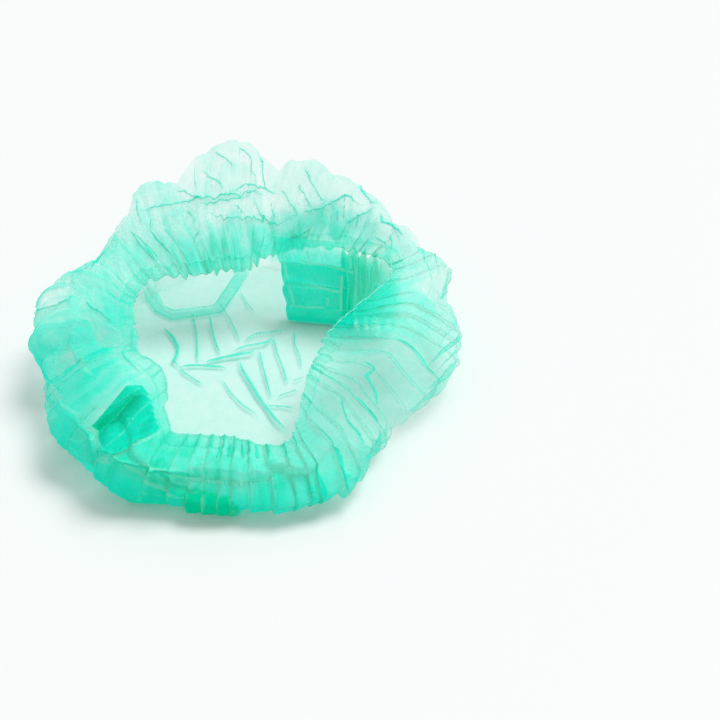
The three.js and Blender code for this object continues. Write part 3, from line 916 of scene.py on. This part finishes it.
def crown_rings():
    """Rings of the crown from the middle outwards: columns, and place from foot to rim.

    The place is a share of the floor below 0, and a share of the wall above 0.
    """
    rings = []
    radius = FIRST_RING
    for limit, columns, step in FLOOR_RINGS:
        while radius < limit:
            rings.append((columns, radius / MEAN_FOOT - 1))
            radius += step
    columns = FLOOR_RINGS[-1][1]
    rings += [(columns, share) for share in np.linspace(0, 1, WALL_ROWS)]
    return rings


def make_crown(material):
    """The crown's cloth, in rings from the middle of the floor to the rim."""
    turns, alongs, faces = [], [], []
    start, before = 0, None
    for columns, share in crown_rings():
        azimuth = np.arange(columns) * 360 / columns
        foot = crown_form.mix(crown_form.foot, azimuth)
        length = crown_form.mix(crown_form.length, azimuth)
        turns.append(azimuth)
        alongs.append(foot * (1 + share) if share < 0 else foot + length * share)
        if before == columns:
            faces += (grid_faces(2, columns, True) + start - columns).tolist()
        elif before:
            for triangles in doubling_faces(before, start - before, start):
                faces += triangles.tolist()
        start, before = start + columns, columns
    position, ply = cloth(np.concatenate(turns), np.concatenate(alongs))
    inner = FLOOR_RINGS[0][1]
    centre = [[0, 0, position[:inner, 2].mean()]]
    faces += [(start, (k + 1) % inner, k) for k in range(inner)]
    piece = mesh_object("crown_fabric", np.concatenate([position, centre]), faces)
    finish_cloth(piece, np.append(ply, 1), material)
    return piece


def sharpness(piece):
    """How sharply a mesh is bent at each vertex, from 0 to 1."""
    mesh = piece.data
    position, normal = np.empty(len(mesh.vertices) * 3), np.empty(len(mesh.vertices) * 3)
    edges = np.empty(len(mesh.edges) * 2, dtype=int)
    mesh.vertices.foreach_get("co", position)
    mesh.vertex_normals.foreach_get("vector", normal)
    mesh.edges.foreach_get("vertices", edges)
    position, normal = position.reshape(-1, 3), normal.reshape(-1, 3)
    a, b = edges.reshape(-1, 2).T
    step = position[b] - position[a]
    square = np.maximum((step**2).sum(axis=1), 1e-9)
    total, count = np.zeros(len(position)), np.zeros(len(position))
    for end, way in ((a, 2), (b, -2)):
        np.add.at(total, end, way * (step * normal[end]).sum(axis=1) / square)
        np.add.at(count, end, 1)
    bend = np.abs(total / np.maximum(count, 1))
    return ramp(bend, 0.25 * SHARP_BEND, SHARP_BEND)


def finish_cloth(piece, ply, material, painted_highlight=0.0):
    """Stores what the cloth's material reads: its plies, and how creased it is and how much painted
    highlight it has.
    """
    bend = sharpness(piece)
    store(piece, "plies", ply + EDGE_PLY * bend)
    # Sharp bends of thick cloth get a painted highlight
    store(piece, "painted_highlight", np.maximum(BEND_HIGHLIGHT * bend * ramp(ply, 1.3, 2.4), painted_highlight))
    piece.data.materials.append(material)


def rounded(points, step=FOLD_STEP):
    """A line through the points with its corners rounded, at even steps."""
    points = np.array(points, dtype=float)
    along = np.concatenate([[0], np.cumsum(np.linalg.norm(np.diff(points, axis=0), axis=1))])
    even = np.linspace(0, along[-1], int(along[-1] / step))
    line = np.stack([np.interp(even, along, points[:, k]) for k in (0, 1)], axis=1)
    for _ in range(2):
        line[1:-1] = (line[:-2] + 2 * line[1:-1] + line[2:]) / 4
    return line


def across_line(line):
    """Unit vectors square to a line, at its left."""
    way = unit(np.gradient(line, axis=0))
    return np.stack([-way[:, 1], way[:, 0]], axis=1)


def stack_grid(line, reach, place):
    """A sheet folded along a zigzag line, drawn out along the folds.

    line holds two coordinates of the zigzag, reach the values of the third, and place
    turns the three into a point.
    """
    first, third = np.meshgrid(np.arange(len(line)), reach, indexing="ij")
    rib = RIB_HEIGHT * np.sin(2 * math.pi * third / RIB_PITCH + 3 * noise(third, first, 12, 60))
    rib += 0.6 * facets(third, first * 0.6, 7, 61)
    a, b = np.moveaxis(line[first] + across_line(line)[first] * rib[..., None], -1, 0)
    return place(a, b, third), grid_faces(len(line), len(reach), False)


def join_grids(name, grids, ply, material, painted_highlight=0.0):
    vertices, faces, count = [], [], 0
    for points, quads in grids:
        vertices.append(points.reshape(-1, 3))
        faces += (quads + count).tolist()
        count += len(vertices[-1])
    vertices = np.concatenate(vertices)
    piece = mesh_object(name, vertices, faces)
    finish_cloth(piece, np.broadcast_to(ply, len(vertices)), material, painted_highlight)
    return piece


def stack_place(start, end):
    """Turns a length along the slab, a depth towards the mouth and a height into a point."""
    way = unit(np.subtract(end, start).astype(float))

    def place(along, depth, height):
        x = start[0] + way[0] * along + way[1] * depth
        y = start[1] + way[1] * along - way[0] * depth
        return np.stack([x, y, np.broadcast_to(height, x.shape)], axis=-1)

    return place


def stack_lean(height):
    """How far the right stack leans towards the mouth at a height, below 0 as it leans back."""
    way, low, high = STACK_LEAN
    return way * ramp(height, low, high)


def flat_folds(place):
    """The left part of the right stack, folded from the top down to the table."""

    def bent(depth, height, along):
        bend = 1.2 * facets(along, height, 15, 63)
        ragged = 2.5 * noise(height, np.zeros_like(depth), 7, 65) * ramp(12 - along, 0, 12)
        slide = 0.14 * depth - 0.13 * (height - 5) + ragged
        out = depth + bend + stack_lean(height)
        return place(along + slide, out, np.maximum(height + bend, 1.8))

    return stack_grid(rounded(FLAT_FOLDS), np.arange(-2, 38, FOLD_STEP), bent)


def upright_folds(place):
    """The right part of the right stack, whose folds stand upright side by side."""

    def bent(along, depth, height):
        slide = 1.6 * facets(along, height, 16, 64)
        return place(along + slide, depth + slide + stack_lean(height) * (1 - along / 80), height)

    return stack_grid(rounded(UPRIGHT_FOLDS), np.arange(2, 54, FOLD_STEP), bent)


def stack_edge(points, place):
    """A thin ridge on the front of the right stack, along the edge of a fold."""
    line = rounded(points)
    across = across_line(line)
    rows = []
    for offset, depth in ((-0.8, 5.2), (0, 5.7), (0.8, 5.2)):
        along, height = (line + across * offset).T
        slide = facets(along, height, 16, 64)
        rows.append(place(along, depth + slide + stack_lean(height), height))
    return np.stack(rows), grid_faces(3, len(line), False)


def make_right_stack(material):
    """Pleats beside the right seal: flat folds at the left, upright folds at the right."""
    place = stack_place(*RIGHT_STACK)
    flat, upright = flat_folds(place), upright_folds(place)
    edges = [stack_edge(points, place) for points in STACK_EDGES]

    def thin_top(height):
        missing, low, high = STACK_TOP_FADE
        return 1 - missing * ramp(height, low, high)

    flat_height, upright_height = flat[0][..., 2], upright[0][..., 2]
    flat_ply = FLAT_FOLDS_PLY * thin_top(flat_height)
    fade = np.interp(np.linspace(0, 1, len(upright_height)), *UPRIGHT_FOLDS_PLY)[:, None]
    fade = fade * (0.2 + 0.8 * ramp(upright_height, 2, 12))
    upright_ply = fade * thin_top(upright_height - 8)
    folded = np.concatenate([flat_ply.ravel(), upright_ply.ravel()])
    edge_ply = np.full(sum(points[..., 0].size for points, _ in edges), STACK_EDGE_PLY)
    ply = np.concatenate([folded, edge_ply])
    # The fold edges on the stack's front get the painted highlight
    painted_highlight = np.arange(len(ply)) >= len(folded)
    return join_grids("unopened_pleats_right", (flat, upright, *edges), ply, material, painted_highlight)


def make_left_stack(material):
    """Pleats beside the left seal, whose folds slant down into the corner."""
    place = stack_place(*LEFT_STACK)
    number, pitch, depth = LEFT_FOLDS
    folds = [(2 + k * pitch, depth if k % 2 else -depth) for k in range(number)]

    def leaning(z, depth, along):
        reach = 38 - 16 * np.abs(along - 9) / 25
        height = 1.8 + (z - 2) / 30 * (reach - 2)
        return place(along + 0.15 * (z - 16), depth, height)

    grid = stack_grid(rounded(folds, 0.5), np.arange(0, 34, 0.5), leaning)
    return join_grids("unopened_pleats_left", (grid,), LEFT_STACK_PLY, material)


def squared(wave):
    """A sine or cosine with its peaks flattened, so that a ring of them is a rounded box."""
    return np.sign(wave) * np.abs(wave) ** 0.6


def make_end_seal(name, azimuth, material):
    """Crimped weld of all the pleats: a thin fin with pressed bars that follows the beak."""
    rows, columns = 70, 20
    turn = np.full(rows, float(azimuth))
    length = crown_form.mix(crown_form.length, turn)
    along = crown_form.mix(crown_form.foot, turn) + length * np.linspace(*SEAL_SPAN, rows)
    base, _ = cloth(turn, along)
    beside, _ = cloth(turn + 0.5, along)
    out = crown_form.normal(turn, along)
    across = unit(beside - base)
    v = np.linspace(-1, 1, rows)[:, None]
    swell = np.sqrt(np.clip(1 - v**6, 0.02, 1))
    angle = np.arange(columns)[None, :] / columns * 2 * math.pi
    cos, sin = np.cos(angle), np.sin(angle)
    bars = SEAL_BAR_HEIGHT * np.cos(2 * math.pi * (along - along[0])[:, None] / SEAL_BAR_PITCH)
    ragged = (cos > 0) * (0.4 * np.sin(9 * v) + 0.2 * np.sin(31 * v + 1))
    deep = SEAL_OUT + SEAL_HALF_DEPTH * squared(cos) * swell + ragged
    side = (SEAL_THICKNESS / 2 + bars) * squared(sin) * swell
    points = base[:, None] + out[:, None] * deep[..., None] + across[:, None] * side[..., None]
    piece = tube_object(name, points)
    finish_cloth(piece, np.full(rows * columns, SEAL_PLY), material)
    return piece


def pinch(points, width, rise, inwards):
    """A narrow ridge of the crown's cloth along a line of the unrolled plane."""
    line = rounded(points)
    across = across_line(line)
    share = np.linspace(0, 1, len(line))
    size = 0.25 + 0.75 * ramp(share, 0, 0.2) * ramp(1 - share, 0, 0.2)
    rows = []
    for offset, lift in ((-1, 0), (0, 1), (1, 0)):
        place = line + across * (offset * PINCH_WIDTH * width * size)[:, None]
        azimuth = np.degrees(np.arctan2(place[:, 1], place[:, 0]))
        stand = PINCH_GAP + lift * rise * size
        position, _ = cloth(azimuth, np.hypot(*place.T), side=-stand if inwards else stand)
        rows.append(position)
    return (np.stack(rows), grid_faces(3, len(line), False)), np.tile(size, 3)


def make_pressed_folds(name, creases, on_floor, painted_highlight, material):
    """The crown's pressed creases along charted lines, which the material shows dark, or pale with a
    painted highlight.
    """
    grids, plies = [], []
    pinch_ply = FLOOR_PINCH_PLY if on_floor else WALL_PINCH_PLY
    for extra, width, *_, points in creases:
        rise = PINCH_HEIGHT * (1 - 0.75 * painted_highlight)
        grid, size = pinch(points, width * (1 + 0.4 * painted_highlight), rise, on_floor)
        grids.append(grid)
        plies.append(pinch_ply * extra * size)
    return join_grids(name, grids, np.concatenate(plies), material, painted_highlight)


def rim_span(start, end, step):
    """Azimuths along one half of the rim, short of the seals by a gap."""
    return np.linspace(start + RIM_GAP, end - RIM_GAP, int((end - start) / step))


def make_hem(name, start, end, material):
    """The casing that is folded over one half of the rim."""
    azimuth = rim_span(start, end, 0.5)
    turn = np.broadcast_to(azimuth, (len(CASING_SECTION), len(azimuth)))
    section = np.array(CASING_SECTION)
    along = crown_form.total(turn) - section[:, :1]
    swell = 1 + 0.35 * np.sin(4 * math.pi * pleat_line.place(turn) + 0.6)
    position, ply = cloth(turn, along, side=section[:, 1:2] * swell, hem=True)
    faces = grid_faces(len(section), len(azimuth), False)
    piece = mesh_object(name, position.reshape(-1, 3), faces.tolist())
    finish_cloth(piece, (ply * section[:, 2:]).ravel(), material)
    return piece


def make_elastic(name, start, end, material):
    """The thread inside one casing, just beyond the edge of the crown's cloth."""
    azimuth = rim_span(start, end, 0.75)
    path, _ = cloth(azimuth, crown_form.total(azimuth) + THREAD_OUT, hem=True)
    way = unit(np.gradient(path, axis=0))
    across = unit(np.cross(way, [0, 0, 1]))
    other = np.cross(way, across)
    angle = np.arange(THREAD_SIDES)[None, :, None] / THREAD_SIDES * 2 * math.pi
    ring = np.cos(angle) * across[:, None] + np.sin(angle) * other[:, None]
    piece = tube_object(name, path[:, None] + ring * THREAD / 2)
    piece.data.materials.append(material)
    return piece


class Shader:
    """A new material, whose nodes are added one by one."""

    def __init__(self, name):
        self.material = bpy.data.materials.new(name)
        self.material.use_nodes = True
        self.material.node_tree.nodes.clear()

    def put(self, node, name, value):
        """Links an input to another node's output, or gives it a constant value."""
        if isinstance(value, bpy.types.NodeSocket):
            self.material.node_tree.links.new(value, node.inputs[name])
        else:
            node.inputs[name].default_value = value

    def add(self, kind, **inputs):
        """A new node with its inputs set. A name is written with _ for each space."""
        node = self.material.node_tree.nodes.new(kind)
        for name, value in inputs.items():
            self.put(node, name.replace("_", " "), value)
        return node

    def calculate(self, operation, *values):
        node = self.add("ShaderNodeMath")
        node.operation = operation
        for index, value in enumerate(values):
            self.put(node, index, value)
        return node.outputs[0]

    def mix_colours(self, factor, first, second):
        node = self.add("ShaderNodeMix")
        node.data_type = "RGBA"
        for index, value in ((0, factor), (6, first), (7, second)):
            self.put(node, index, value)
        return node.outputs[2]

    def mix_shaders(self, factor, first, second):
        node = self.add("ShaderNodeMixShader", Fac=factor)
        self.put(node, 1, first.outputs[0])
        self.put(node, 2, second.outputs[0])
        return node

    def finish(self, surface):
        self.add("ShaderNodeOutputMaterial", Surface=surface.outputs[0])
        return self.material


def point_value(shader, name):
    """What the mesh stores at its points under a name."""
    node = shader.add("ShaderNodeAttribute")
    node.attribute_name = name
    return node.outputs["Fac"]


def fabric_material(name, colour, deep, cover):
    """Thin spunbonded cloth: part holes, part fibres that scatter light both ways.

    cover is the share of light that one ply stops, and deep the colour of many plies.
    """
    shader = Shader(name)
    place = shader.add("ShaderNodeTexCoord").outputs["Object"]
    fibre = shader.add("ShaderNodeTexNoise", Vector=place, Scale=600, Detail=3).outputs["Fac"]
    cloud = shader.add("ShaderNodeTexNoise", Vector=place, Scale=150, Detail=3).outputs["Fac"]
    bond = shader.add("ShaderNodeTexVoronoi", Vector=place, Scale=700).outputs["Distance"]

    # The part that isn't holes, from the number of plies
    plies = point_value(shader, "plies")
    mottle = shader.calculate("MULTIPLY_ADD", cloud, 1.0, 0.5)
    speckle = shader.calculate("MULTIPLY_ADD", fibre, 0.6, 0.7)
    count = shader.calculate("MULTIPLY", plies, mottle)
    count = shader.calculate("MULTIPLY", count, speckle)
    clear = shader.calculate("POWER", 1 - cover, count)
    opaque = shader.calculate("SUBTRACT", 1.0, clear)

    # Colour, deeper in many plies, and pale on creases with a painted highlight
    depth = shader.add("ShaderNodeMapRange", Value=plies, From_Min=3, From_Max=9)
    deepened = shader.mix_colours(depth.outputs["Result"], (*colour, 1), (*deep, 1))
    highlight_share = shader.calculate("MULTIPLY", point_value(shader, "painted_highlight"), 0.75)
    tint = shader.mix_colours(highlight_share, deepened, (*HIGHLIGHT_COLOUR, 1))

    height = shader.calculate("MULTIPLY_ADD", bond, 0.5, fibre)
    bump = shader.add("ShaderNodeBump", Strength=0.35, Distance=0.0004, Height=height)
    normal = bump.outputs["Normal"]
    front = shader.add("ShaderNodeBsdfDiffuse", Color=tint, Normal=normal)
    through = shader.add("ShaderNodeBsdfTranslucent", Color=tint, Normal=normal)
    fibres = shader.mix_shaders(0.42, front, through)
    holes = shader.add("ShaderNodeBsdfTransparent")
    return shader.finish(shader.mix_shaders(opaque, holes, fibres))


def elastic_material():
    """A pale green thread, with the fine turns of its wrapping as a bump."""
    shader = Shader("elastic_thread")
    wrap = shader.add("ShaderNodeTexWave", Scale=900).outputs["Fac"]
    bump = shader.add("ShaderNodeBump", Strength=0.4, Distance=0.0002, Height=wrap)
    normal = bump.outputs["Normal"]
    return shader.finish(
        shader.add("ShaderNodeBsdfPrincipled", Base_Color=ELASTIC_COLOUR, Roughness=0.6, Normal=normal)
    )


def table_material():
    shader = Shader("table_top")
    return shader.finish(
        shader.add("ShaderNodeBsdfPrincipled", Base_Color=TABLE_COLOUR, Roughness=0.7)
    )


fabric = fabric_material("nonwoven_fabric", FABRIC_COLOUR, DEEP_COLOUR, cover=0.36)
dense_fabric = fabric_material("unopened_fabric", FABRIC_COLOUR, DEEP_COLOUR, cover=0.40)
# A copy of the fabric that keeps its plain colour in many plies: painted light, so that the right
# stack, which stands in shade, looks bright green
fabric_painted_lighter = fabric_material("fabric_painted_lighter", FABRIC_COLOUR, FABRIC_COLOUR, cover=0.44)
hem_fabric = fabric_material("hem_fabric", FABRIC_COLOUR, DEEP_COLOUR, cover=0.36)
elastic = elastic_material()


def attach(piece, node):
    """Gives a piece its body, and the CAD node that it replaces."""
    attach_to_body(piece, "root")
    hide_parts(node)
    return piece


crown = attach(make_crown(fabric), "crown")
trim = [
    attach(make_pressed_folds("floor_creases", FLOOR_CREASES, True, 0.0, fabric), "crown"),
    attach(make_pressed_folds("wall_creases", WALL_CREASES, False, 0.0, fabric), "crown"),
    attach(make_pressed_folds("pale_creases", PALE_CREASES, False, 1.0, fabric), "crown"),
    # The right stack takes the copy of the fabric that is painted lighter
    attach(make_right_stack(fabric_painted_lighter), "pleat_stack_right"),
    attach(make_left_stack(dense_fabric), "pleat_stack_left"),
]
for side, azimuth in (("left", LEFT_SEAL), ("right", RIGHT_SEAL)):
    seal = make_end_seal(f"seal_tab_{side}", azimuth, dense_fabric)
    trim.append(attach(seal, f"end_seal_{side}"))
for side, start, end in (("front", LEFT_SEAL, RIGHT_SEAL + 360), ("back", RIGHT_SEAL, LEFT_SEAL)):
    hem = make_hem(f"hem_{side}_casing", start, end, hem_fabric)
    trim.append(attach(hem, f"hem_{side}"))
    thread = make_elastic(f"elastic_{side}_thread", start, end, elastic)
    trim.append(attach(thread, f"elastic_{side}"))


def add_table():
    bpy.ops.mesh.primitive_plane_add(size=TABLE_SIZE)
    table = bpy.context.object
    table.name = "table"
    table.data.materials.append(table_material())


def add_light():
    """A bright room and a broad lamp from the upper right, behind the cap."""
    world = bpy.data.worlds.new("room")
    bpy.context.scene.world = world
    world.use_nodes = True
    background = world.node_tree.nodes["Background"]
    background.inputs["Color"].default_value = (1, 1, 1, 1)
    background.inputs["Strength"].default_value = ROOM_STRENGTH
    lamp_data = bpy.data.lights.new("broad_lamp", "SUN")
    lamp_data.angle = math.radians(LAMP_WIDTH)
    lamp_data.energy = LAMP_STRENGTH
    lamp = bpy.data.objects.new("broad_lamp", lamp_data)
    lamp.rotation_euler = (math.radians(LAMP_TILT), 0, math.radians(LAMP_TURN))
    bpy.context.scene.collection.objects.link(lamp)


def add_camera():
    """A camera that looks along +Y and down at the table."""
    camera_data = bpy.data.cameras.new("camera")
    camera_data.lens = LENS
    camera_data.sensor_width = SENSOR
    camera = bpy.data.objects.new("camera", camera_data)
    elevation = math.radians(ELEVATION)
    back, up = DISTANCE * math.cos(elevation), DISTANCE * math.sin(elevation)
    camera.location = (AIM[0], AIM[1] - back, AIM[2] + up)
    camera.rotation_euler = (math.pi / 2 - elevation, 0, 0)
    bpy.context.scene.collection.objects.link(camera)
    bpy.context.scene.camera = camera


add_table()
add_light()
add_camera()
bpy.context.scene.view_settings.view_transform = "Standard"
bpy.context.scene.cycles.transparent_max_bounces = 32
